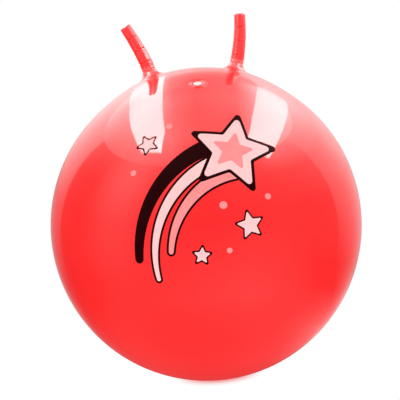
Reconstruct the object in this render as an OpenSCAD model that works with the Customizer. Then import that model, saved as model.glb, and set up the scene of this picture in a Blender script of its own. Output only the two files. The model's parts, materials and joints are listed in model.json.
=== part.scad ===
// Hopper ball: an inflated PVC ball with two horn handles and a stoppered air valve.
// Millimetres, +Z up. The origin is on the floor, in the middle of the patch that the ball rests on.
// -Y is the front, where the valve sits ahead of the horns.

/* [Ball] */
// Diameter of the inflated ball
ball_d = 500; // [440:5:560]
// Wall thickness of the moulded skin
skin_t = 1.2; // [1:0.1:1.6]
// Height by which the horns draw the crown of the ball up
crown_h = 4; // [0:0.5:6]
// Angle from the top at which the crown runs out into the round ball
crown_a = 25; // [22:1:26]
// Radius of the patch that the ball's own weight flattens on the floor
foot_r = 36; // [24:1:50]

/* [Horns] */
// Angle of each horn's root from the top of the ball
horn_lean = 15.4; // [13:0.1:18]
// Length of a horn from the skin to its tip
horn_l = 92; // [84:1:104]
// Diameter of a grip at its foot
grip_d = 21.5; // [21:0.1:22.5]
// Diameter of a grip at its tip
tip_d = 17.6; // [17:0.1:20]
// Wall thickness of the horns
horn_t = 2.2; // [1.8:0.1:2.6]
// Depth of the finger grooves
groove_h = 0.8; // [0.4:0.1:0.9]
// Outward set of the left grip on its neck, in degrees
left_splay = 7.5; // [-5:0.5:9]
// Outward curve of the left grip from foot to tip, in degrees
left_curve = 6; // [-10:0.5:10]
// Outward set of the right grip on its neck, in degrees
right_splay = -4; // [-5:0.5:9]
// Outward curve of the right grip from foot to tip, in degrees
right_curve = -9; // [-10:0.5:10]

/* [Valve] */
// Angle of the valve from the top of the ball, towards the front
valve_lean = 25; // [25:0.5:40]
// Diameter of the valve seat where it shows in the skin
seat_d = 30; // [28:1:36]
// Diameter of the stopper's head
plug_d = 12.6; // [12:0.1:14]
// Diameter of the valve's bore
bore_d = 8; // [7:0.1:9]

/* [Hidden] */
$fn = 96;

skin_red = [0.93, 0.13, 0.14];
horn_red = [0.90, 0.10, 0.11];
valve_red = [0.86, 0.12, 0.13];
plug_white = [0.96, 0.95, 0.94];

// The ball's centre stands this high once its foot is pressed flat.
ball_r = ball_d / 2;
ball_z = sqrt(ball_r * ball_r - foot_r * foot_r);
skin_step = 3;

// Horn heights are measured from the skin, outward along the horn.
// A neck rocks on a round knuckle in the skin's collar, and a grip on a second one at the neck's top.
root_s = 8;
neck_s = 26;
root_knuckle_r = 12.6;
grip_knuckle_r = 9.6;
knuckle_gap = 0.3;
collar_r = 14.8;
collar_fillet = 9.5;
collar_depth = 3;
neck_foot_r = 11.2;
neck_top_r = 10.9;
neck_bore_r = 6.5;
neck_root_cut = 9;
neck_top_cut = 5.5;
rim_s = 3;
sections = 3;
section_l = (horn_l - neck_s) / sections;
groove_w = 1;
groove_fill = 0.2;
tip_round = 2.2;

// Valve heights are measured from the skin, outward along the valve.
seat_t = 3;
seat_lip = 5;
weld_gap = 0.05;
seat_tube_r = 7;
seat_tube_l = 20;
bead_at = 10.5;
bead_r = 1.5;
rim_groove = 1.2;
plug_recess = 0.6;
plug_head_t = 1.9;
plug_edge = 0.8;
plug_dome_r = 22;
plug_shank_l = 17;
plug_gap = 0.05;
plug_barbs = 3;
barb_h = 0.7;

// A length that reaches past any one piece, for cutting right through it.
far = 60;

// How far the crown stands above the round ball, at an angle from the top.
function crown(a) = a < crown_a ? crown_h * pow(cos(90 * a / crown_a), 2) : 0;

// Distance of the skin's outside from the ball's centre, at an angle from the top.
function skin_r(a) = ball_r + crown(a);

// Radius of a grip at a height above its pivot.
function grip_r(u) = (grip_d + (tip_d - grip_d) * u / (sections * section_l)) / 2;

// Places a horn's pieces on the skin: the right horn as drawn, the left one mirrored.
module at_horn(side) {
    mirror([side < 0 ? 1 : 0, 0, 0])
        translate([0, 0, ball_z]) rotate([0, horn_lean, 0]) translate([0, 0, skin_r(horn_lean)])
            children();
}

// Places the valve's pieces on the skin.
module at_valve() {
    translate([0, 0, ball_z]) rotate([valve_lean, 0, 0]) translate([0, 0, skin_r(valve_lean)])
        children();
}

// The whole ball as a solid, drawn in from the skin's outside by an inset.
module ball_solid(inset = 0) {
    r = ball_r - inset;
    rise = ball_z - inset;
    foot_a = acos(-rise / r);
    rotate_extrude()
        polygon(concat(
            [for (a = [0 : skin_step : foot_a - 1])
                (skin_r(a) - inset) * [sin(a), 0] + [0, ball_z + (skin_r(a) - inset) * cos(a)]],
            [[r * sin(foot_a), inset], [0, inset]]));
}

// A raised collar that runs out into the skin around a horn's root.
module collar() {
    reach = collar_r + collar_fillet;
    skin_fall = reach * reach / ball_d;
    rotate_extrude() difference() {
        translate([0, -collar_depth]) square([reach, root_s + collar_depth]);
        translate([reach, collar_fillet - skin_fall]) circle(collar_fillet);
    }
}

// The round socket in a collar that a neck rocks in. It opens into the ball.
module root_socket() {
    translate([0, 0, root_s]) sphere(root_knuckle_r + knuckle_gap);
}

module ball_skin() {
    color(skin_red) difference() {
        union() {
            ball_solid();
            for (side = [-1, 1]) at_horn(side) collar();
        }
        ball_solid(skin_t);
        for (side = [-1, 1]) at_horn(side) root_socket();
        at_valve() translate([0, 0, -far / 2]) cylinder(h = far, d = seat_d);
    }
}

// A short hollow neck: a knuckle for the collar, a cone, and a smaller knuckle for the grip.
module horn_neck(side) {
    cone_s = root_s + sqrt(pow(root_knuckle_r, 2) - pow(neck_foot_r, 2));
    shoulder_s = neck_s - rim_s;
    color(horn_red) at_horn(side) difference() {
        union() {
            intersection() {
                translate([0, 0, root_s]) sphere(root_knuckle_r);
                translate([0, 0, root_s - neck_root_cut])
                    cylinder(h = cone_s - root_s + neck_root_cut, r = far);
            }
            translate([0, 0, cone_s])
                cylinder(h = shoulder_s - cone_s, r1 = neck_foot_r, r2 = neck_top_r);
            intersection() {
                translate([0, 0, neck_s]) sphere(grip_knuckle_r);
                translate([0, 0, shoulder_s - rim_s]) cylinder(h = 2 * rim_s + neck_top_cut, r = far);
            }
        }
        translate([0, 0, root_s]) sphere(root_knuckle_r - horn_t);
        cylinder(h = far, r = neck_bore_r);
    }
}

// Moves up a grip to one of its sections, and turns with the grip's curve at each groove.
module at_section(k, curve) {
    if (k == 0) children();
    else translate([0, 0, section_l]) rotate([0, curve / (sections - 1), 0])
        at_section(k - 1, curve) children();
}

// The outside of one section: a barrel that pinches in to a groove at each end, or is rounded at the tip.
// A ball fills the bend in the groove below it.
module section_outside(k) {
    last = k == sections - 1;
    low = k == 0 ? rim_s : 0;
    high = section_l - (last ? tip_round : 0);
    r_low = grip_r(k * section_l + low);
    r_high = grip_r((k + 1) * section_l);
    if (k > 0) sphere(r_low - groove_h + groove_fill);
    rotate_extrude() union() {
        polygon(concat(
            [[0, low], [r_low - groove_h, low], [r_low, low + groove_w]],
            last ? [[r_high, high]] : [[r_high, high - groove_w], [r_high - groove_h, high]],
            [[0, high]]));
        if (last) {
            translate([r_high - tip_round, high]) circle(tip_round);
            square([r_high - tip_round, section_l]);
        }
    }
}

// The hollow inside one section, closed at the tip.
module section_inside(k) {
    last = k == sections - 1;
    r_low = grip_r(k * section_l) - horn_t;
    r_high = grip_r((k + 1) * section_l) - horn_t;
    if (k > 0) sphere(r_low + groove_fill);
    cylinder(h = section_l - (last ? horn_t : 0), r1 = r_low, r2 = r_high);
}

// A hollow grip in three finger sections, set on its neck at a splay.
module horn_grip(side, splay, curve) {
    color(horn_red) at_horn(side) translate([0, 0, neck_s]) rotate([0, splay, 0]) difference() {
        union() for (k = [0 : sections - 1]) at_section(k, curve) section_outside(k);
        for (k = [0 : sections - 1]) at_section(k, curve) section_inside(k);
        sphere(grip_knuckle_r + knuckle_gap);
    }
}

// A disc welded into the skin from inside, with a raised bead and a tube that holds the stopper.
module valve_seat() {
    rim_r = seat_d / 2 - weld_gap;
    lip_r = rim_r + seat_lip;
    lip_in = skin_t + weld_gap;
    color(valve_red) difference() {
        union() {
            intersection() {
                difference() { ball_solid(); ball_solid(seat_t); }
                at_valve() translate([0, 0, -far / 2]) cylinder(h = far, r = rim_r);
            }
            intersection() {
                difference() { ball_solid(lip_in); ball_solid(seat_t); }
                at_valve() translate([0, 0, -far / 2]) cylinder(h = far, r = lip_r);
            }
            at_valve() {
                rotate_extrude() translate([bead_at, 0]) circle(bead_r);
                translate([0, 0, -seat_tube_l]) cylinder(h = seat_tube_l - skin_t, r = seat_tube_r);
            }
        }
        at_valve() {
            translate([0, 0, -far / 2]) cylinder(h = far, d = bore_d);
            translate([0, 0, -plug_recess]) cylinder(h = far, d = plug_d + 2 * plug_recess);
            rotate_extrude()
                polygon([[rim_r - rim_groove, 0], [rim_r + rim_groove, -2 * rim_groove],
                         [rim_r + rim_groove, 0]]);
        }
    }
}

// The white stopper: a low domed head on a barbed shank.
module valve_plug() {
    head_r = plug_d / 2;
    top_r = head_r - plug_edge;
    shank_r = bore_d / 2 - plug_gap;
    core_r = shank_r - barb_h;
    barb_pitch = plug_shank_l / (plug_barbs + 1);
    dome_h = plug_dome_r - sqrt(pow(plug_dome_r, 2) - pow(top_r, 2));
    color(plug_white) at_valve() translate([0, 0, plug_gap - plug_recess]) union() {
        rotate_extrude() union() {
            square([top_r, plug_head_t]);
            translate([0, plug_edge]) square([head_r, plug_head_t - 2 * plug_edge]);
            for (h = [plug_edge, plug_head_t - plug_edge])
                translate([top_r, h]) circle(plug_edge);
        }
        intersection() {
            translate([0, 0, plug_head_t + dome_h - plug_dome_r]) sphere(plug_dome_r);
            translate([0, 0, plug_edge]) cylinder(h = plug_head_t, r = top_r);
        }
        rotate_extrude() polygon(concat(
            [[0, plug_edge], [core_r, plug_edge]],
            [for (k = [1 : plug_barbs]) for (r = [core_r, shank_r]) [r, -k * barb_pitch]],
            [[core_r, -plug_shank_l], [0, -plug_shank_l]]));
    }
}

ball_skin();
valve_seat();
valve_plug();
horn_neck(-1);  // left_horn_neck
horn_grip(-1, left_splay, left_curve);  // left_horn_grip
horn_neck(1);  // right_horn_neck
horn_grip(1, right_splay, right_curve);  // right_horn_grip
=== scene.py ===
"""Dresses a hopper ball: its skin, horns, valve, stopper and print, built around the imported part.

Everything is in metres in the part's own frame: +Z up, the origin on the floor, -Y the front.
"""

import json
from math import asin, atan2, cos, pi, radians, sin, sqrt, tan

import bmesh
import bpy
import numpy as np
from mathutils import Matrix, Vector
from mathutils.geometry import delaunay_2d_cdt


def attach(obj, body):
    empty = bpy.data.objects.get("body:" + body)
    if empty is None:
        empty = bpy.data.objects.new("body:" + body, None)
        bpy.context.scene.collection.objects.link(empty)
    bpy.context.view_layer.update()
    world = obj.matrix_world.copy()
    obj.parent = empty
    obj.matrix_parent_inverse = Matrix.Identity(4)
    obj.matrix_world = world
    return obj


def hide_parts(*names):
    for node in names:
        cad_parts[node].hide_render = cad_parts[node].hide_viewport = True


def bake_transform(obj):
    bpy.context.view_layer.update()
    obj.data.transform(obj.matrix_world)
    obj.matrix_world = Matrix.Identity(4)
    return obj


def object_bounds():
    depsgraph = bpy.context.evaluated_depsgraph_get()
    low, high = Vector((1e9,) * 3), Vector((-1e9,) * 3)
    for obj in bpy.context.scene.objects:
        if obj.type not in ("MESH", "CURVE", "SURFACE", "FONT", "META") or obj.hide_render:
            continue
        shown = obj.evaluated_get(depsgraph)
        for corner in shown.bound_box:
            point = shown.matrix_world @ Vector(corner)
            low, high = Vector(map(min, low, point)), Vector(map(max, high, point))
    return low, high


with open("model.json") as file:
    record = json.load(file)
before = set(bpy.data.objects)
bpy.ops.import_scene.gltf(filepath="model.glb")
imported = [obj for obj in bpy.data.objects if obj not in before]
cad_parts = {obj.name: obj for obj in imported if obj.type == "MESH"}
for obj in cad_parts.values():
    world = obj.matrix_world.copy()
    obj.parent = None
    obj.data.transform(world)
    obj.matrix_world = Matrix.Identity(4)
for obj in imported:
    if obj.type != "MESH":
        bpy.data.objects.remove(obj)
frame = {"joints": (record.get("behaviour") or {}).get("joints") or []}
CAD_LOW, CAD_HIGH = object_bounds()
JOINTS = {joint["name"]: joint for joint in frame["joints"]}
MM = 0.001

# All meshes: the steps in a rounded corner, and the least angle of an edge that stays sharp.
CORNER_STEPS = 5
SHARP_EDGE = radians(50)

# The ball: its radius is half its width, and its centre is where the horns' axes cross.
BALL_R = (CAD_HIGH.x - CAD_LOW.x) / 2
ROOT_PIVOT = np.array(JOINTS["right_root_bend"]["pos_m"])
GRIP_PIVOT = np.array(JOINTS["right_grip_bend"]["pos_m"])
HORN_AXIS = (GRIP_PIVOT - ROOT_PIVOT) / np.linalg.norm(GRIP_PIVOT - ROOT_PIVOT)
HORN_LEAN = atan2(HORN_AXIS[0], HORN_AXIS[2])
CENTRE = ROOT_PIVOT - HORN_AXIS * ROOT_PIVOT[0] / HORN_AXIS[0]
SKIN_T = 1.2 * MM
CROWN_H = 3.6 * MM
CROWN_FLAT = radians(15)
CROWN_END = radians(38)
CROWN_NARROW = 1.5
FOOT_EDGE = 1.5 * MM
SKIN_SEGMENTS = 256
SKIN_RINGS = 160
INSIDE_RINGS = 40
HEIGHT_PASSES = 6

# The horns: heights are measured from the skin, along the horn.
SIDE = {"left": -1, "right": 1}
SPLAY = {"left": radians(7.5), "right": radians(-4)}
CURVE = {"left": radians(6), "right": radians(-9)}
GRIP_L = 66 * MM
SECTIONS = 3
ROOT_R = 10.9 * MM
GRIP_R = 10.75 * MM
TIP_R = 8.8 * MM
TIP_ROUND = 2.2 * MM
TIP_DIMPLE = 0.7 * MM
DIMPLE_SHARES = (0.85, 0.65, 0.45, 0.25)
FILLET_R = 12.5 * MM
SEAM_S = 17 * MM
SEAM_STILL = 3 * MM
BEND_REACH = 8 * MM
KINK_REACH = 3 * MM
TUCK = 0.06 * MM
CAP_DEPTH = 1 * MM

# The finger rings, each a crease with a fine rib on either side.
RING_RISE = 2.2 * MM
RING_STEP = 21.4 * MM
RIB_H = 0.25 * MM
RIB_W = 1.6 * MM
CREASE_D = 1.1 * MM
CREASE_W = 0.9 * MM

# The wrinkles round a root, and the heights between which a painted sheen makes it paler.
FOLD_H = 0.35 * MM
FOLD_STEP = 6 * MM
FOLD_TURNS = 3
FOLD_SLANT = 1.3
FOLD_FROM = 3 * MM
FOLD_FULL = 8 * MM
FOLD_FADE = 5 * MM
PALE_FROM = 4.5 * MM
PALE_TO = 11 * MM

# The horns' meshes.
HORN_SEGMENTS = 72
HORN_STEP = 2 * MM
LINE_POINTS = 737
FILLET_RINGS = 16
NECK_RINGS = 9
RIB_RINGS = 15
TIP_RINGS = 7

# The valve: heights are measured from the skin, along the valve.
VALVE_AXIS = np.array(JOINTS["plug_pull"]["axis"])
VALVE_SEGMENTS = 96
HOLE_R = 15 * MM
LIP_ROUND = 0.7 * MM
LIP_RINGS = 6
SEAT_R = 14.85 * MM
SEAT_T = 3 * MM
SEAT_ROUND = 0.3 * MM
SEAT_TUBE_R = 7 * MM
SEAT_TUBE_L = 20 * MM
BORE_R = 4 * MM
RECESS_ROUND = 0.2 * MM
BEAD_AT = 10.5 * MM
BEAD_R = 1.5 * MM
BEAD_OUTSIDE = 0.5 * MM
BEAD_INSIDE = 0.2 * MM
BEAD_START = 0.1
BEAD_RINGS = 15

# The stopper: its barbs' slope and land are shares of the step from one barb to the next.
PLUG_R = 6.3 * MM
PLUG_RECESS = 0.6 * MM
PLUG_GAP = 0.05 * MM
PLUG_HEAD_T = 1.9 * MM
PLUG_DOME = 0.9 * MM
DOME_RINGS = 10
SHOULDER_W = 0.9 * MM
SHOULDER_ROUND = 0.7 * MM
UNDER_ROUND = 0.4 * MM
PLUG_SHANK_L = 17 * MM
PLUG_CORE_R = 3.2 * MM
PLUG_BARB_R = 3.9 * MM
PLUG_BARBS = 3
BARB_SLOPE = 0.1
BARB_LAND = 0.12
PLUG_TIP_R = PLUG_CORE_R - 0.4 * MM
PLUG_TIP_ROUND = 0.6 * MM

# The print: its middle is turned and raised from the front, and its sizes are along the skin from there.
PRINT_TURN = radians(-1.7)
PRINT_RISE = radians(19.3)
BOLD_LINE = 4.5 * MM
TAIL_LINE = 3.2 * MM
THIN_LINE = 2.2 * MM
# Stars: places across and up, the reach of the points and of the notches, in mm, and a turn in degrees.
BIG_STAR = (43, 52, 62, 29, -14)
STAR_HEART = (43, 52, 33, 15.4, -14)
SMALL_STARS = [(58, -58, 20, 9.5, 10), (-80, 78, 16, 7.6, 22), (-14, -96, 13, 6.2, -8)]
STAR_POINTS = 5
# Dots: places across and up, and radii, in mm.
DOTS = [(22, -28, 5.5), (88, -18, 4.5), (-46, 104, 5), (-104, 36, 4.5), (26, -92, 4)]
DOT_SEGMENTS = 28
# Streaks of the tail: radii of their arcs, in mm, where these start and end, in degrees, and widths there.
TAIL_MIDDLE = (66, -104)
DARK_STREAK = (174, 100, 176, 22, 7)
PALE_STREAK = (149, 100, 188, 20, 6)
ROSE_STREAK = (125, 100, 172, 20, 7)
STREAK_STEPS = 36
CAP_STEPS = 9

# The ink's layers, each above the last, and the triangles that fill its outlines.
INK_LAYER = 0.05 * MM
INK_DEPTH = 0.3 * MM
INK_GRID = 6 * MM
OUTLINE_STEP = 3 * MM
TRIANGLES_INSIDE = 1
SAME_PLACE = 1e-6
TINY = 1e-9

# Colours: each finish runs between two of them.
RED = ((0.94, 0.0050, 0.0060), (0.98, 0.0075, 0.0080))
# A paler, streaky red painted on the necks above the skin: a painted sheen.
PAINTED_SHEEN_RED = ((0.95, 0.06, 0.06), (0.97, 0.2, 0.2))
WHITE = ((0.74, 0.68, 0.66), (0.82, 0.76, 0.74))
DARK_INK = ((0.020, 0.0014, 0.0018), (0.014, 0.0008, 0.0011))
PALE_INK = ((0.95, 0.53, 0.525), (0.96, 0.58, 0.575))
ROSE_INK = ((0.95, 0.25, 0.25), (0.96, 0.29, 0.285))

# The colour mix node's sockets: its share and two colours, and its outcome.
MIX_INPUTS = (0, 6, 7)
MIX_OUTPUT = 2

# The camera: turned, raised and rolled about the ball, and where the ball's middle falls in the picture.
PICTURE = 400
BALL_PIXEL = (206.05, 224.6)
BALL_PIXELS_R = 155.6
CAMERA_TURN = radians(-2.75)
CAMERA_RISE = radians(7.1)
CAMERA_ROLL = radians(-4.8)
CAMERA_AWAY = 1.75
SENSOR = 36.0

# The light on matt surfaces: the world's level, and each lamp's place, width and power in watts.
WORLD_LEVEL = 1.05
LAMPS = {
    "lamp_above": ((0, 0.3, 2.6), 3.0, 2),
    "lamp_front": ((0, -3.2, 0.5), 2.4, 4),
    "lamp_left": ((-2.2, -0.8, 0.2), 1.2, 7),
    "lamp_right": ((2.2, -0.8, 0.2), 1.2, 7),
}

# The floor, which runs out into white between two distances from its middle.
FLOOR_SIZE = 14
FLOOR_GREY = (0.93, 0.93, 0.93, 1)
FLOOR_FADE = (0.03, 0.08)

# The light tent, which shows only in gloss. A row is a turn from the front, in degrees, and how bright the
# tent is there: its floor at three radii, or its wall at three heights. A glow is the red light that the ball
# throws on it at that radius or height. Under the ball, rows are a radius, a level and a glow.
TENT_R = 0.65
TENT_H = 0.85
TENT_STEP = 2
TENT_LEAN = 9
CARD_LIFT = 0.5 * MM
FLOOR_UNDER = [(0.05, 0.06, 0.6), (0.1, 0.1, 0.6)]
FLOOR_RADII = (0.22, 0.4, 0.65)
FLOOR_GLOW = (0.5, 0.35, 0.25)
TENT_FLOOR = [
    (-180, 0.4, 0.8, 1.0), (-150, 0.4, 0.6, 0.6), (-120, 0.2, 0.25, 0.15), (-100, 0.15, 0.06, 0.04),
    (-75, 0.12, 0.06, 0.1), (-50, 0.2, 0.35, 0.5), (-15, 0.3, 0.65, 0.6), (18, 0.4, 0.9, 0.8),
    (35, 0.35, 0.65, 0.65), (60, 0.45, 0.15, 0.2), (80, 0.45, 0.05, 0.08), (120, 0.55, 0.6, 0.4),
    (165, 0.4, 0.4, 0.3), (180, 0.4, 0.8, 1.0),
]
WALL_HEIGHTS = (0.35, 0.6, 0.85)
WALL_GLOW = (0.2, 0.1, 0)
TENT_WALLS = [
    (-180, 0.9, 0.8, 0.9), (-160, 0.5, 1.1, 1.8), (-145, 0.35, 1.2, 2.0), (-108, 0.35, 1.15, 2.0),
    (-106, 0.1, 0.3, 0.9), (-90, 0.12, 0.3, 0.9), (-78, 0.2, 0.45, 1.1), (-57, 0.85, 1.7, 2.1),
    (-48, 0.85, 1.7, 2.0), (-33, 0.45, 0.8, 1.3), (0, 0.35, 0.5, 0.9), (39, 0.5, 0.8, 1.5),
    (54, 0.4, 0.9, 3.2), (80, 0.3, 1.0, 3.2), (82, 0.8, 1.7, 3.6), (120, 0.75, 1.5, 3.0),
    (144, 0.55, 1.0, 2.0), (162, 0.6, 0.7, 1.0), (180, 0.9, 0.8, 0.9),
]

# The tent's roof: a row is a place from front to back, and how bright the roof is at each place across.
ROOF_ACROSS = (-0.7, -0.45, -0.2, -0.1, 0.0, 0.2, 0.45, 0.7)
ROOF = [
    (-0.7, 0.9, 1.0, 0.7, 0.6, 0.6, 0.6, 1.0, 1.4),
    (-0.3, 1.9, 3.2, 3.6, 2.4, 1.9, 1.7, 6.0, 4.5),
    (0.0, 1.5, 3.1, 4.5, 2.0, 1.3, 1.8, 6.0, 4.5),
    (0.15, 1.9, 3.0, 3.2, 1.1, 0.7, 1.1, 5.2, 3.9),
    (0.35, 2.3, 2.9, 2.6, 1.2, 0.9, 0.7, 4.6, 3.2),
    (0.7, 2.3, 2.6, 2.2, 1.8, 1.7, 1.2, 1.2, 1.4),
]

# The softboxes under the roof: from front to back, places on the left edge and on the right one, and how
# bright the softbox is at those two.
SOFTBOX_H = 0.7
LEFT_SOFTBOX = [
    ((-0.33, -0.265), (-0.225, -0.34), (8, 9.5)),
    ((-0.322, -0.225), (-0.215, -0.315), (16, 21)),
    ((-0.291, -0.065), (-0.155, -0.21), (12, 15.5)),
    ((-0.245, 0.12), (-0.109, 0.04), (5.2, 7.3)),
    ((-0.2, 0.5), (-0.077, 0.35), (1.7, 2.6)),
]
RIGHT_SOFTBOX = [
    ((0.236, -0.36), (0.44, -0.385), (9, 9)),
    ((0.236, -0.335), (0.437, -0.355), (17.5, 17.5)),
    ((0.225, -0.12), (0.418, -0.04), (11.5, 11.2)),
    ((0.228, 0.07), (0.41, 0.15), (6.3, 6.3)),
    ((0.24, 0.27), (0.4, 0.34), (2.6, 2.6)),
]


# Shapes shared by the pieces

def ease(value, low, high):
    """Goes smoothly from 0 at low to 1 at high."""
    share = np.clip((value - low) / (high - low), 0, 1)
    return share * share * (3 - 2 * share)


def direction(turn, rise):
    """The way that a turn from the front, towards +X, and a rise above level point."""
    return np.array([sin(turn) * cos(rise), -cos(turn) * cos(rise), sin(rise)])


def heading(angle):
    """The way that an angle points in a flat drawing."""
    return np.array([cos(angle), sin(angle)])


def square_to(axis):
    """Two directions that are square to an axis and to each other, the first one level."""
    level = np.cross((0, 0, 1), axis)
    level = level / np.linalg.norm(level)
    return level, np.cross(axis, level)


def around(count, first, second):
    """Evenly spaced directions round a circle, from one direction towards another."""
    angles = np.arange(count) * 2 * pi / count
    return np.cos(angles)[:, None] * first + np.sin(angles)[:, None] * second


def rounded(corners, radii):
    """An open 2-D outline whose inner corners are rounded to these radii."""
    points = [np.array(corners[0])]
    for before, corner, after, radius in zip(corners, corners[1:], corners[2:], radii):
        before, corner, after = (np.array(p, float) for p in (before, corner, after))
        back = (before - corner) / np.linalg.norm(before - corner)
        ahead = (after - corner) / np.linalg.norm(after - corner)
        half = np.arccos(np.clip(back @ ahead, -1, 1)) / 2
        start = corner + back * radius / tan(half)
        end = corner + ahead * radius / tan(half)
        middle = corner + (back + ahead) / np.linalg.norm(back + ahead) * radius / sin(half)
        sweep = pi - 2 * half
        for step in range(CORNER_STEPS + 1):
            share = step / CORNER_STEPS
            arm = sin((1 - share) * sweep) * (start - middle) + sin(share * sweep) * (end - middle)
            points.append(middle + arm / sin(sweep))
    points.append(np.array(corners[-1]))
    return points


def new_piece(name, points, faces, material):
    """A smooth-shaded mesh object with outward faces and its sharp edges marked."""
    mesh = bpy.data.meshes.new(name)
    mesh.from_pydata([tuple(p) for p in points], [], faces)
    shape = bmesh.new()
    shape.from_mesh(mesh)
    bmesh.ops.recalc_face_normals(shape, faces=shape.faces)
    shape.to_mesh(mesh)
    shape.free()
    mesh.polygons.foreach_set("use_smooth", [True] * len(mesh.polygons))
    mesh.set_sharp_from_angle(angle=SHARP_EDGE)
    mesh.materials.append(material)
    piece = bpy.data.objects.new(name, mesh)
    bpy.context.scene.collection.objects.link(piece)
    return piece


def loft(name, rings, material, loop=False):
    """A closed piece through rings of points.

    A ring of one point is a pole, and a loop joins the last ring to the first.
    """
    starts = np.cumsum([0] + [len(ring) for ring in rings])
    pairs = list(zip(range(len(rings) - 1), range(1, len(rings))))
    if loop:
        pairs.append((len(rings) - 1, 0))
    faces = []
    for low, high in pairs:
        count = max(len(rings[low]), len(rings[high]))
        for k in range(count):
            after = (k + 1) % count
            if len(rings[low]) == 1:
                face = (starts[low], starts[high] + after, starts[high] + k)
            elif len(rings[high]) == 1:
                face = (starts[low] + k, starts[low] + after, starts[high])
            else:
                face = (starts[low] + k, starts[low] + after, starts[high] + after, starts[high] + k)
            faces.append(tuple(int(i) for i in face))
    return new_piece(name, np.concatenate(rings), faces, material)


# The skin

def crown(ways):
    """How far the horns draw the skin up, in these directions.

    It is a low saddle that is longer from horn to horn than from front to back.
    """
    sideways = np.arctan2(ways[:, 0], ways[:, 2])
    forward = np.arctan2(ways[:, 1], ways[:, 2])
    return CROWN_H * (1 - ease(np.hypot(sideways, CROWN_NARROW * forward), CROWN_FLAT, CROWN_END))


def on_skin(ways, inset=0.0):
    """Points of the skin in these directions from the ball's centre, drawn in by an inset."""
    points = CENTRE + ways * (BALL_R - inset + crown(ways))[:, None]
    over = points[:, 2] - inset
    lift = np.maximum(FOOT_EDGE - np.abs(over), 0) ** 2 / (4 * FOOT_EDGE)
    points[:, 2] = inset + np.maximum(over, 0) + lift
    return points


def skin_height(feet, axis):
    """How far along an axis the skin lies from these points near it."""
    heights = np.zeros(len(feet))
    for _ in range(HEIGHT_PASSES):
        arms = feet + heights[:, None] * axis - CENTRE
        away = np.linalg.norm(arms, axis=1)
        heights -= away - BALL_R - crown(arms / away[:, None])
    return heights


def make_ball(material):
    """The inflated skin, inside and out, with a round hole for the valve."""
    hoop = around(SKIN_SEGMENTS, *square_to(VALVE_AXIS))

    def ring(angle, inset):
        return on_skin(cos(angle) * VALVE_AXIS + sin(angle) * hoop, inset)

    hole = asin(HOLE_R / BALL_R)
    rim = asin((HOLE_R + LIP_ROUND) / BALL_R)
    far_pole = -VALVE_AXIS[None, :]
    rings = [on_skin(far_pole)]
    rings += [ring(angle, 0) for angle in np.linspace(pi, rim, SKIN_RINGS)[1:]]
    for turn in np.linspace(pi / 2, 0, LIP_RINGS)[1:]:
        rings.append(ring(rim - (rim - hole) * cos(turn), LIP_ROUND * (1 - sin(turn))))
    rings += [ring(angle, SKIN_T) for angle in np.linspace(hole, pi, INSIDE_RINGS)[:-1]]
    rings.append(on_skin(far_pole, SKIN_T))
    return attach(loft("ball_with_skin", rings, material), "ball")


# The horns

class Horn:
    """The line that a horn follows, in the plane of the two horns, and the thickness along it."""

    def __init__(self, name):
        self.name = name
        self.side = SIDE[name]
        self.axis = HORN_AXIS * (self.side, 1, 1)
        self.foot = CENTRE + self.axis * (BALL_R + float(crown(self.axis[None, :])[0]))
        self.neck_s = float(np.linalg.norm(GRIP_PIVOT * (self.side, 1, 1) - self.foot))
        self.tip_s = self.neck_s + GRIP_L
        self.rings_at = [self.neck_s + RING_RISE + k * RING_STEP for k in range(SECTIONS)]
        self.steps = np.linspace(0, self.tip_s, LINE_POINTS)
        angles = self.lean(self.steps)
        step = self.steps[1]
        middles = (angles[1:] + angles[:-1]) / 2
        self.out = np.concatenate([[0], np.cumsum(np.sin(middles) * step)])
        self.rise = np.concatenate([[0], np.cumsum(np.cos(middles) * step)])

    def lean(self, s):
        """Angle of the horn from upright: straight at the neck, splayed above it, then curving to the tip."""
        splay = SPLAY[self.name] * ease(s, self.neck_s - KINK_REACH, self.neck_s + KINK_REACH)
        section_l = GRIP_L / SECTIONS
        bent = np.clip((s - self.neck_s - section_l / 2) / (section_l * (SECTIONS - 1)), 0, 1)
        return HORN_LEAN + splay + CURVE[self.name] * bent

    def at(self, s):
        """The point of the horn's line at a height."""
        out = np.interp(s, self.steps, self.out)
        rise = np.interp(s, self.steps, self.rise)
        return self.foot + np.array([self.side * out, 0, rise])

    def radius(self, s):
        """Thickness of the horn at a height, with a fine rib and a crease at each finger ring."""
        taper = np.interp(s, [0, self.neck_s, self.tip_s], [ROOT_R, GRIP_R, TIP_R])
        for place in self.rings_at:
            away = abs(s - place)
            taper += RIB_H * (1 - ease(away, 0, RIB_W)) - CREASE_D * (1 - ease(away, 0, CREASE_W))
        return taper

    def folds(self, s):
        """Soft wrinkles round the root, which slant as they go round."""
        angles = np.arange(HORN_SEGMENTS)[:, None] * 2 * pi / HORN_SEGMENTS
        slant = FOLD_SLANT * np.sin(FOLD_TURNS * angles + self.side)
        fade = ease(s, FOLD_FROM, FOLD_FULL) * (1 - ease(s, SEAM_S - FOLD_FADE, SEAM_S))
        return FOLD_H * fade * np.sin(2 * pi * s / FOLD_STEP + slant)

    def hoop(self, lean):
        """Directions round the horn where it leans by this angle."""
        sideways = np.array([self.side * cos(lean), 0, -sin(lean)])
        return around(HORN_SEGMENTS, sideways, (0, 1, 0))

    def ring(self, s, radius):
        """A ring of points round the horn's line."""
        return self.at(s) + radius * self.hoop(float(self.lean(s)))

    def heights(self, low, high):
        """Heights for rings between two heights: close together at the finger rings, and apart elsewhere."""
        spots = list(np.arange(low, high, HORN_STEP)) + [high]
        spots = [s for s in spots if min(abs(s - place) for place in self.rings_at) > RIB_W]
        fine = np.linspace(-RIB_W, RIB_W, RIB_RINGS)
        spots += [place + step for place in self.rings_at if low < place < high for step in fine]
        return sorted(spots)


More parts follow.
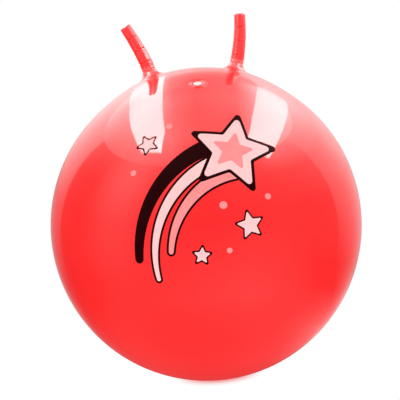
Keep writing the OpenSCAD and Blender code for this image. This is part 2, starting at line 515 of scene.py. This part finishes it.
def make_root(horn, material):
    """The lower neck, which runs out into the skin through a fillet."""
    hoop = horn.hoop(HORN_LEAN)

    def flare(radius, height):
        """A ring that lies on the skin at height 0 and is level at the top of the fillet."""
        feet = horn.foot + radius * hoop
        share = 1 - ease(height, 0, FILLET_R)
        lifts = skin_height(feet, horn.axis) * share + height
        return feet + lifts[:, None] * horn.axis

    edge = float(horn.radius(0)) + FILLET_R
    under = flare(edge, -CAP_DEPTH)
    rings = [under.mean(axis=0)[None, :], under, flare(edge, -TUCK)]
    for turn in np.linspace(0, pi / 2, FILLET_RINGS)[1:]:
        height = FILLET_R * (1 - cos(turn))
        radius = horn.radius(height) + horn.folds(height)
        rings.append(flare(radius + FILLET_R * (1 - sin(turn)), height))
    for s in np.linspace(FILLET_R, SEAM_S, NECK_RINGS)[1:]:
        rings.append(horn.ring(s, horn.radius(s) + horn.folds(s)))
    rings.append(horn.at(SEAM_S)[None, :])
    piece = loft(f"{horn.name}_handle_root", rings, material)
    end = horn.at(SEAM_S - SEAM_STILL)
    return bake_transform(piece)


def make_handle(horn, material):
    """The handle above the neck, with its finger rings and its dimpled tip."""
    rings = [horn.at(SEAM_S)[None, :]]
    top = horn.tip_s - TIP_ROUND
    rings += [horn.ring(s, horn.radius(s)) for s in horn.heights(SEAM_S, top)]
    flat = TIP_R - TIP_ROUND
    for turn in np.linspace(0, pi / 2, TIP_RINGS)[1:]:
        rings.append(horn.ring(top + TIP_ROUND * sin(turn), flat + TIP_ROUND * cos(turn)))
    for share in DIMPLE_SHARES:
        rings.append(horn.ring(horn.tip_s - TIP_DIMPLE * float(ease(1 - share, 0, 1)), flat * share))
    rings.append(horn.at(horn.tip_s - TIP_DIMPLE)[None, :])
    piece = loft(f"{horn.name}_handle", rings, material)
    start = horn.at(horn.neck_s - BEND_REACH)
    end = horn.at(horn.neck_s + BEND_REACH)
    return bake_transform(piece)


# The valve

def lathe(name, outline, material, loop=False):
    """A piece turned about the valve's axis from an outline of radius and height points."""
    hoop = around(VALVE_SEGMENTS, *square_to(VALVE_AXIS))
    foot = CENTRE + VALVE_AXIS * BALL_R
    rings = []
    for radius, height in outline:
        middle = foot + VALVE_AXIS * height
        rings.append(middle + radius * hoop if radius > 0 else middle[None, :])
    return loft(name, rings, material, loop)


def make_seat(material):
    """The disc in the skin, with a raised bead round the stopper and a tube behind it."""
    def face(radius):
        """Height of the ball's round face at a distance from the valve's axis."""
        return sqrt(BALL_R ** 2 - radius ** 2) - BALL_R

    foot = face(BEAD_AT)
    rim = rounded([(SEAT_R, -SEAT_T), (SEAT_R, face(SEAT_R)), (BEAD_AT + BEAD_R + BEAD_OUTSIDE, foot)],
                  [LIP_ROUND])
    turns = np.linspace(BEAD_START, pi - BEAD_START, BEAD_RINGS)
    bead = [(BEAD_AT + BEAD_R * cos(turn), foot + BEAD_R * sin(turn)) for turn in turns]
    recess_r = PLUG_R + PLUG_RECESS
    recess = [(BEAD_AT - BEAD_R - BEAD_INSIDE, foot), (recess_r, face(recess_r)), (recess_r, -PLUG_RECESS)]
    bore = [(BORE_R, -PLUG_RECESS), (BORE_R, -SEAT_TUBE_L)]
    tube = [(SEAT_TUBE_R, -SEAT_TUBE_L), (SEAT_TUBE_R, -SEAT_T)]
    inner = rounded(recess + bore + tube, [SEAT_ROUND, RECESS_ROUND, SEAT_ROUND, SEAT_ROUND, SEAT_ROUND])
    piece = lathe("valve_disc", rim + bead + inner, material, loop=True)
    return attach(piece, "ball")


def make_stopper(material):
    """The push-in stopper: a low domed head with a rounded edge, on a barbed shank."""
    low = -PLUG_RECESS + PLUG_GAP
    edge = low + PLUG_HEAD_T
    end = low - PLUG_SHANK_L
    dome_r = (PLUG_R ** 2 + PLUG_DOME ** 2) / (2 * PLUG_DOME)
    dome = []
    for r in np.linspace(0, PLUG_R - SHOULDER_W, DOME_RINGS):
        dome.append((r, edge + sqrt(dome_r ** 2 - r ** 2) - dome_r + PLUG_DOME))
    shoulder = [dome[-1], (PLUG_R, edge), (PLUG_R, low), (PLUG_CORE_R, low)]
    side = rounded(shoulder, [SHOULDER_ROUND, UNDER_ROUND])
    pitch = PLUG_SHANK_L / (PLUG_BARBS + 1)
    barbs = []
    for k in range(1, PLUG_BARBS + 1):
        barbs.append((PLUG_CORE_R, low - (k - BARB_SLOPE) * pitch))
        barbs.append((PLUG_BARB_R, low - k * pitch))
        barbs.append((PLUG_BARB_R, low - (k + BARB_LAND) * pitch))
    tip = rounded([barbs[-1], (PLUG_TIP_R, end), (0, end)], [PLUG_TIP_ROUND])
    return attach(lathe("stopper", dome + side[1:] + barbs + tip[1:], material), "plug")


# The print

def star(x, y, outer, inner, turn):
    """The corners of a star."""
    middle = np.array([x, y]) * MM
    corners = []
    for k in range(2 * STAR_POINTS):
        reach = inner if k % 2 else outer
        corners.append(middle + reach * MM * heading(radians(turn) + pi / 2 + k * pi / STAR_POINTS))
    return corners


def disc(x, y, radius):
    """A round dot's outline."""
    return list(np.array([x, y]) * MM + radius * MM * around(DOT_SEGMENTS, (1, 0), (0, 1)))


def streak(reach, start, end, width, tail, margin=0.0):
    """The outline of a band along an arc, which narrows to a round end, grown by a margin."""
    middle = np.array(TAIL_MIDDLE) * MM
    reach = reach * MM
    end = radians(end)
    halves = np.linspace(width * MM + 2 * margin, tail * MM + 2 * margin, STREAK_STEPS) / 2
    outer, inner = [], []
    for angle, half in zip(np.linspace(radians(start), end, STREAK_STEPS), halves):
        outer.append(middle + heading(angle) * (reach + half))
        inner.append(middle + heading(angle) * (reach - half))
    tip = middle + reach * heading(end)
    cap = [tip + halves[-1] * heading(end + turn) for turn in np.linspace(0, pi, CAP_STEPS)[1:-1]]
    return outer + cap + inner[::-1]


def grown(corners, margin):
    """The corners of a closed outline whose edges are moved out by a margin."""
    moved = []
    count = len(corners)
    for k in range(count):
        ahead = corners[(k + 1) % count] - corners[k]
        back = corners[k] - corners[k - 1]
        ahead = ahead / np.linalg.norm(ahead)
        back = back / np.linalg.norm(back)
        out_ahead = np.array([ahead[1], -ahead[0]])
        out_back = np.array([back[1], -back[0]])
        moved.append(corners[k] + (out_ahead + out_back) * margin / (1 + out_ahead @ out_back))
    return moved


def softened(corners, radius):
    """A closed outline with all its corners rounded."""
    looped = [corners[-1], *corners, corners[0]]
    return rounded(looped, [radius] * len(corners))[1:-1]


def filled(outlines):
    """Flat points and triangles that fill these outlines, close enough together to follow the skin."""
    corners, loops = [], []
    for outline in outlines:
        first = len(corners)
        for here, there in zip(outline, outline[1:] + outline[:1]):
            count = max(1, int(np.linalg.norm(there - here) / OUTLINE_STEP))
            corners += [Vector(here + (there - here) * k / count) for k in range(count)]
        loops.append(list(range(first, len(corners))))
    low = np.min(corners, axis=0)
    high = np.max(corners, axis=0)
    for row, y in enumerate(np.arange(low[1], high[1], INK_GRID * sqrt(3) / 2)):
        for x in np.arange(low[0] + (row % 2) * INK_GRID / 2, high[0], INK_GRID):
            corners.append(Vector((x, y)))
    flat, _, faces, *_ = delaunay_2d_cdt(corners, [], loops, TRIANGLES_INSIDE, SAME_PLACE)
    used = sorted({k for face in faces for k in face})
    number = {k: n for n, k in enumerate(used)}
    return np.array([flat[k] for k in used]), [[number[k] for k in face] for face in faces]


def ink(name, layer, material, outlines):
    """A thin printed layer on the skin: closed slabs inside these outlines."""
    flat, faces = filled(outlines)
    normal = direction(PRINT_TURN, PRINT_RISE)
    level, up = square_to(normal)
    away = np.linalg.norm(flat, axis=1)
    lateral = (flat[:, :1] * level + flat[:, 1:] * up) / np.maximum(away, TINY)[:, None]
    ways = np.cos(away / BALL_R)[:, None] * normal + np.sin(away / BALL_R)[:, None] * lateral
    points = np.concatenate([on_skin(ways, -layer * INK_LAYER), on_skin(ways, INK_DEPTH)])
    count = len(flat)
    sides = {side for face in faces for side in zip(face, face[1:] + face[:1])}
    walls = [(b, a, a + count, b + count) for a, b in sorted(sides) if (b, a) not in sides]
    under = [[k + count for k in face[::-1]] for face in faces]
    piece = new_piece(name, points, faces + under + walls, material)
    piece.data.normals_split_custom_set_from_vertices([tuple(way) for way in np.concatenate([ways, ways])])
    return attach(piece, "ball")


def make_print(dark, pale, rose):
    """A shooting star: a star with a swept tail of three streaks, small stars and dots."""
    big = star(*BIG_STAR)
    heart = star(*STAR_HEART)
    small = [star(*row) for row in SMALL_STARS]
    tail = [streak(*row, margin=TAIL_LINE) for row in (DARK_STREAK, PALE_STREAK, ROSE_STREAK)]
    ink("print_tail_outline", 1, dark, tail)
    ink("print_star_outlines", 1, dark, [softened(grown(corners, THIN_LINE), THIN_LINE) for corners in small])
    ink("print_pale_tail", 2, pale, [streak(*PALE_STREAK)])
    ink("print_pale_stars", 2, pale, [softened(corners, THIN_LINE / 2) for corners in small])
    ink("print_rose_tail", 2, rose, [streak(*ROSE_STREAK)])
    ink("print_rose_dots", 1, rose, [disc(*row) for row in DOTS])
    ink("print_big_outline", 3, dark, [softened(grown(big, BOLD_LINE), BOLD_LINE)])
    ink("print_big_star", 4, pale, [softened(big, BOLD_LINE)])
    ink("print_star_heart", 5, rose, [softened(heart, BOLD_LINE / 2)])


# Materials

class Finish:
    """A material with one Principled shader, and short calls for the nodes that feed it."""

    def __init__(self, name, **fixed):
        self.material = bpy.data.materials.new(name)
        self.material.use_nodes = True
        self.tree = self.material.node_tree
        self.shader = self.tree.nodes["Principled BSDF"]
        self.place = self.tree.nodes.new("ShaderNodeTexCoord").outputs["Object"]
        for socket, value in fixed.items():
            self.shader.inputs[socket.replace("_", " ")].default_value = value

    def noise(self, scale, detail=2.0, roughness=0.5):
        """Clouds, with this many to a metre and finer ones in them."""
        node = self.tree.nodes.new("ShaderNodeTexNoise")
        node.inputs["Scale"].default_value = scale
        node.inputs["Detail"].default_value = detail
        node.inputs["Roughness"].default_value = roughness
        self.tree.links.new(self.place, node.inputs["Vector"])
        return node.outputs["Fac"]

    def distance(self, point):
        """How far the surface is from a point."""
        node = self.tree.nodes.new("ShaderNodeVectorMath")
        node.operation = "DISTANCE"
        node.inputs[1].default_value = point
        self.tree.links.new(self.place, node.inputs[0])
        return node.outputs["Value"]

    def spread(self, value, low, high, start=0.3, end=0.7):
        """Runs from low to high as a value runs from its start to its end."""
        node = self.tree.nodes.new("ShaderNodeMapRange")
        for socket, number in zip(("From Min", "From Max", "To Min", "To Max"), (start, end, low, high)):
            node.inputs[socket].default_value = number
        self.tree.links.new(value, node.inputs["Value"])
        return node.outputs["Result"]

    def ramp(self, value, colours, start=0.3, end=0.7):
        """Runs from one colour to another as a value runs from its start to its end."""
        node = self.tree.nodes.new("ShaderNodeValToRGB")
        for element, place, colour in zip(node.color_ramp.elements, (start, end), colours):
            element.position = place
            element.color = (*colour, 1)
        self.tree.links.new(value, node.inputs["Fac"])
        return node.outputs["Color"]

    def blend(self, share, under, over):
        """One colour, going over to another as a share rises."""
        node = self.tree.nodes.new("ShaderNodeMix")
        node.data_type = "RGBA"
        for socket, output in zip(MIX_INPUTS, (share, under, over)):
            self.tree.links.new(output, node.inputs[socket])
        return node.outputs[MIX_OUTPUT]

    def bump(self, height, depth, under=None):
        """Hills of this depth where a value is high, laid over other hills."""
        node = self.tree.nodes.new("ShaderNodeBump")
        node.inputs["Strength"].default_value = 1
        node.inputs["Distance"].default_value = depth
        self.tree.links.new(height, node.inputs["Height"])
        if under is not None:
            self.tree.links.new(under, node.inputs["Normal"])
        return node.outputs["Normal"]

    def feed(self, **sockets):
        """Joins these outputs to the shader, and gives the finished material."""
        for socket, output in sockets.items():
            self.tree.links.new(output, self.shader.inputs[socket.replace("_", " ")])
        return self.material


def red_pvc(name, haze, coat_ior, coat_roughness, painted_sheen=False):
    """Soft PVC: a clouded red with a hazy gloss under a clear one, faint waves and a fine moulded grain.

    Its last argument paints a paler, streaky red above the skin: a painted sheen on the necks.
    """
    finish = Finish(name, IOR=1.5, Specular_IOR_Level=haze, Coat_Weight=1.0, Coat_Roughness=coat_roughness,
                    Coat_IOR=coat_ior)
    colour = finish.ramp(finish.noise(scale=9, detail=4, roughness=0.55), RED)
    # Painted sheen: the colour grows paler and streaky between two heights above the skin.
    if painted_sheen:
        streaky = finish.noise(scale=160, detail=3, roughness=0.6)
        streaks = finish.ramp(streaky, PAINTED_SHEEN_RED, start=0.35, end=0.65)
        share = finish.spread(finish.distance(CENTRE), low=0, high=1, start=BALL_R + PALE_FROM,
                              end=BALL_R + PALE_TO)
        colour = finish.blend(share, colour, streaks)
    gloss = finish.spread(finish.noise(scale=24, detail=5, roughness=0.6), low=0.315, high=0.385)
    waves = finish.bump(finish.noise(scale=7, detail=1), depth=0.08 * MM)
    grain = finish.bump(finish.noise(scale=420), depth=0.004 * MM, under=waves)
    return finish.feed(Base_Color=colour, Roughness=gloss, Normal=grain, Coat_Normal=waves)


def ink_finish(name, colours):
    """Screen-print ink: a colour that is a little thinner in places, on the skin's own waves."""
    finish = Finish(name, IOR=1.5, Specular_IOR_Level=0.02)
    cover = finish.noise(scale=60, detail=6, roughness=0.65)
    colour = finish.ramp(cover, colours, start=0.32, end=0.62)
    gloss = finish.spread(finish.noise(scale=30, detail=4, roughness=0.6), low=0.28, high=0.4)
    waves = finish.bump(finish.noise(scale=7, detail=1), depth=0.16 * MM)
    grain = finish.bump(finish.noise(scale=600), depth=0.004 * MM, under=waves)
    return finish.feed(Base_Color=colour, Roughness=gloss, Normal=grain)


def white_plastic():
    """Satin polyethylene, with faint cloudiness and a fine grain."""
    finish = Finish("white_plastic", IOR=1.51)
    colour = finish.ramp(finish.noise(scale=160, detail=3), WHITE)
    gloss = finish.spread(finish.noise(scale=300, detail=3), low=0.28, high=0.4)
    grain = finish.bump(finish.noise(scale=900), depth=0.01 * MM)
    return finish.feed(Base_Color=colour, Roughness=gloss, Normal=grain)


# The studio

def seen_directly(tree):
    """1 for rays from the camera, or off gloss or through glass, and 0 for light on matt surfaces."""
    path = tree.nodes.new("ShaderNodeLightPath")
    total = path.outputs["Is Camera Ray"]
    for kind in ("Is Glossy Ray", "Is Transmission Ray"):
        either = tree.nodes.new("ShaderNodeMath")
        either.operation = "MAXIMUM"
        tree.links.new(total, either.inputs[0])
        tree.links.new(path.outputs[kind], either.inputs[1])
        total = either.outputs[0]
    return total


def mixed(tree, share, under, over):
    """One shader, going over to another as a share rises."""
    mix = tree.nodes.new("ShaderNodeMixShader")
    tree.links.new(share, mix.inputs["Fac"])
    tree.links.new(under.outputs[0], mix.inputs[1])
    tree.links.new(over.outputs[0], mix.inputs[2])
    return mix.outputs[0]


def make_world():
    """White where it is seen, and an even light from all round on matt surfaces."""
    world = bpy.data.worlds.new("studio")
    world.use_nodes = True
    tree = world.node_tree
    tree.nodes.clear()
    fill, white = (tree.nodes.new("ShaderNodeBackground") for _ in range(2))
    fill.inputs["Strength"].default_value = WORLD_LEVEL
    for background in (fill, white):
        background.inputs["Color"].default_value = (1, 1, 1, 1)
    output = tree.nodes.new("ShaderNodeOutputWorld")
    tree.links.new(mixed(tree, seen_directly(tree), fill, white), output.inputs["Surface"])
    bpy.context.scene.world = world


def bare_material(name):
    """A material with no nodes yet, whose own light isn't aimed at as a lamp's is."""
    material = bpy.data.materials.new(name)
    material.use_nodes = True
    material.cycles.emission_sampling = "NONE"
    material.node_tree.nodes.clear()
    return material


def make_floor():
    """A pale floor that keeps the ball's shadow and runs out into white away from it.

    The world's light still reaches the ball from below.
    """
    material = bare_material("pale_floor")
    tree = material.node_tree
    matt = tree.nodes.new("ShaderNodeBsdfDiffuse")
    matt.inputs["Color"].default_value = FLOOR_GREY
    white = tree.nodes.new("ShaderNodeEmission")
    place = tree.nodes.new("ShaderNodeTexCoord")
    away = tree.nodes.new("ShaderNodeVectorMath")
    away.operation = "LENGTH"
    fade = tree.nodes.new("ShaderNodeMapRange")
    fade.interpolation_type = "SMOOTHSTEP"
    for socket, distance in zip(("From Min", "From Max"), FLOOR_FADE):
        fade.inputs[socket].default_value = distance
    shown = tree.nodes.new("ShaderNodeMath")
    shown.operation = "MULTIPLY"
    output = tree.nodes.new("ShaderNodeOutputMaterial")
    tree.links.new(place.outputs["Object"], away.inputs[0])
    tree.links.new(away.outputs["Value"], fade.inputs["Value"])
    tree.links.new(fade.outputs["Result"], shown.inputs[0])
    tree.links.new(seen_directly(tree), shown.inputs[1])
    tree.links.new(mixed(tree, shown.outputs[0], matt, white), output.inputs["Surface"])
    half = FLOOR_SIZE / 2
    corners = [(-half, -half, 0), (half, -half, 0), (half, half, 0), (-half, half, 0)]
    floor = new_piece("floor", corners, [(0, 1, 2, 3)], material)
    floor.visible_diffuse = False


def make_card(name, rows, levels, glows=0):
    """A studio card that shows only in gloss.

    It is made from rows of points, how bright it is at each of them, and each row's red glow.
    """
    material = bare_material(name)
    tree = material.node_tree
    light = tree.nodes.new("ShaderNodeAttribute")
    light.attribute_name = "light"
    glow = tree.nodes.new("ShaderNodeEmission")
    output = tree.nodes.new("ShaderNodeOutputMaterial")
    tree.links.new(light.outputs["Color"], glow.inputs["Color"])
    tree.links.new(glow.outputs[0], output.inputs["Surface"])
    wide = len(rows[0])
    faces = []
    for first in range(0, wide * (len(rows) - 1), wide):
        faces += [(k, k + 1, k + 1 + wide, k + wide) for k in range(first, first + wide - 1)]
    card = new_piece(name, np.concatenate(rows), faces, material)
    colours = np.repeat(np.array(levels, float).reshape(-1, 1), len("RGBA"), axis=1)
    colours[:, 0] += np.repeat(np.broadcast_to(glows, len(rows)), wide)
    card.data.attributes.new("light", "FLOAT_COLOR", "POINT").data.foreach_set("color", colours.ravel())
    card.visible_camera = False
    card.visible_diffuse = False
    card.visible_transmission = False
    card.visible_shadow = False


def make_tent():
    """A light tent round the ball: a dim floor, and walls that are mostly brighter towards the top."""
    turns = np.arange(-180, 181, TENT_STEP)
    spread = TENT_LEAN * np.sin(np.radians(turns))
    rows, levels, glows = [], [], []

    def ring(radius, height, level, glow):
        lean = np.radians(turns + spread * (1 - height / TENT_H))
        across, along = radius * np.sin(lean), -radius * np.cos(lean)
        rows.append(np.stack([across, along, np.full(len(turns), height)], axis=1))
        levels.append(level)
        glows.append(glow)

    def column(posts, k):
        posts = np.array(posts, float)
        return np.interp(turns, posts[:, 0], posts[:, k + 1])

    for radius, level, glow in FLOOR_UNDER:
        ring(radius, CARD_LIFT, np.full(len(turns), level), glow)
    for k, (radius, glow) in enumerate(zip(FLOOR_RADII, FLOOR_GLOW)):
        ring(radius, CARD_LIFT, column(TENT_FLOOR, k), glow)
    for k, (height, glow) in enumerate(zip(WALL_HEIGHTS, WALL_GLOW)):
        ring(TENT_R, height, column(TENT_WALLS, k), glow)
    make_card("tent", rows, levels, glows)


def make_roof():
    """The tent's roof, which is brighter on either side of its middle than along it."""
    rows = [[(x, y, TENT_H) for x in ROOF_ACROSS] for y, *_ in ROOF]
    make_card("tent_roof", rows, [levels for _, *levels in ROOF])


def make_softbox(name, places):
    """A softbox under the roof, between two edges that run from its front to its back."""
    rows = [[(*left, SOFTBOX_H), (*right, SOFTBOX_H)] for left, right, _ in places]
    make_card(name, rows, [levels for _, _, levels in places])


def make_lamp(name, place, size, power):
    """A soft lamp that faces the ball. The cards show in the gloss in its place."""
    light = bpy.data.lights.new(name, "AREA")
    light.size = size
    light.energy = power
    lamp = bpy.data.objects.new(name, light)
    bpy.context.scene.collection.objects.link(lamp)
    lamp.location = place
    lamp.rotation_euler = (Vector(CENTRE) - Vector(place)).to_track_quat("-Z", "Y").to_euler()
    lamp.visible_camera = False
    lamp.visible_glossy = False


def make_camera():
    """A camera at the photograph's angle, with the ball's middle where the photograph has it."""
    back = Vector(direction(CAMERA_TURN, CAMERA_RISE))
    level = Vector((cos(CAMERA_TURN), sin(CAMERA_TURN), 0))
    up = back.cross(level)
    right = cos(CAMERA_ROLL) * level + sin(CAMERA_ROLL) * up
    above = cos(CAMERA_ROLL) * up - sin(CAMERA_ROLL) * level
    focal = BALL_PIXELS_R * sqrt(CAMERA_AWAY ** 2 - BALL_R ** 2) / BALL_R
    pixel = CAMERA_AWAY / focal
    aim = Vector(CENTRE) - right * (BALL_PIXEL[0] - PICTURE / 2) * pixel
    aim += above * (BALL_PIXEL[1] - PICTURE / 2) * pixel
    data = bpy.data.cameras.new("camera")
    data.sensor_width = SENSOR
    data.lens = focal * SENSOR / PICTURE
    camera = bpy.data.objects.new("camera", data)
    bpy.context.scene.collection.objects.link(camera)
    place = Vector(CENTRE) + back * CAMERA_AWAY
    behind = (place - aim).normalized()
    right = above.cross(behind).normalized()
    turned = Matrix((right, behind.cross(right), behind)).transposed().to_4x4()
    camera.matrix_world = Matrix.Translation(place) @ turned
    bpy.context.scene.camera = camera


def make_studio():
    """The floor, the light and the camera."""
    make_world()
    make_floor()
    make_tent()
    make_roof()
    make_softbox("left_softbox", LEFT_SOFTBOX)
    make_softbox("right_softbox", RIGHT_SOFTBOX)
    for name, (place, size, power) in LAMPS.items():
        make_lamp(name, place, size, power)
    make_camera()
    bpy.context.scene.view_settings.view_transform = "Standard"


def make_object():
    """The ball's pieces, each in the place of its node."""
    pvc = red_pvc("red_pvc", haze=0.1, coat_ior=1.5, coat_roughness=0.05)
    # The necks carry a painted sheen in their colour.
    root_pvc = red_pvc("root_pvc", haze=0.1, coat_ior=1.5, coat_roughness=0.05, painted_sheen=True)
    horn_pvc = red_pvc("horn_pvc", haze=0.02, coat_ior=1.7, coat_roughness=0.24)
    ball = make_ball(pvc)
    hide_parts("ball_skin")
    for name in SIDE:
        horn = Horn(name)
        for piece, node in ((make_root(horn, root_pvc), "neck"), (make_handle(horn, horn_pvc), "grip")):
            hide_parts(f"{name}_horn_{node}")
    seat = make_seat(pvc)
    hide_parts("valve_seat")
    stopper = make_stopper(white_plastic())
    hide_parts("valve_plug")
    dark = ink_finish("ink_dark", DARK_INK)
    pale = ink_finish("ink_pale", PALE_INK)
    rose = ink_finish("ink_rose", ROSE_INK)
    make_print(dark, pale, rose)


make_object()
make_studio()
